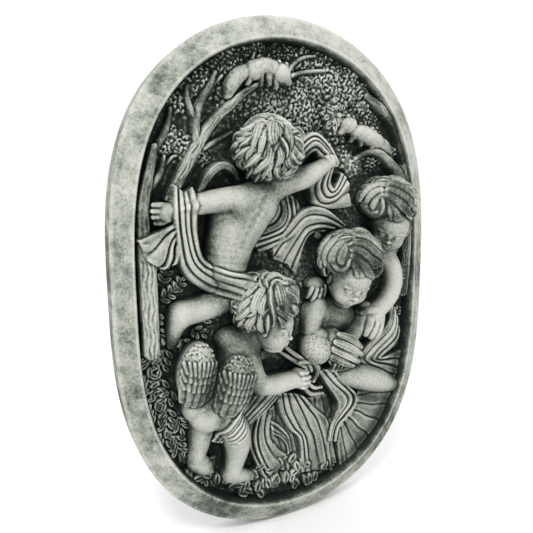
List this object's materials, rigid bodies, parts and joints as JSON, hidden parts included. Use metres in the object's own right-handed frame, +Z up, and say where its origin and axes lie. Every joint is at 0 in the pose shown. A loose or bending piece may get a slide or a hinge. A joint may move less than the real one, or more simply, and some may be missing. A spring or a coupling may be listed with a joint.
{
  "type": "wall plaque",
  "caption": "Upright oval cast stone wall plaque with a raised plain rim round a high relief of putti at play among drapery, trees and foliage; flat back",
  "frame": {"origin": "centre of the flat back face, where the plaque bears on the wall", "axes": "+Y is the outward normal of the flat back, into the wall; the relief faces -Y; +Z is up and is the longest extent; +X is to the right of someone who looks at the relief"},
  "size_m": [0.364, 0.0743, 0.53],
  "materials": {
    "cast_stone": "matt cast concrete, pale grey, with a dark green-black antique wash in the recesses"
  },
  "bodies": {
    "root": {"plaque": "cast_stone"}
  },
  "joints": []
}
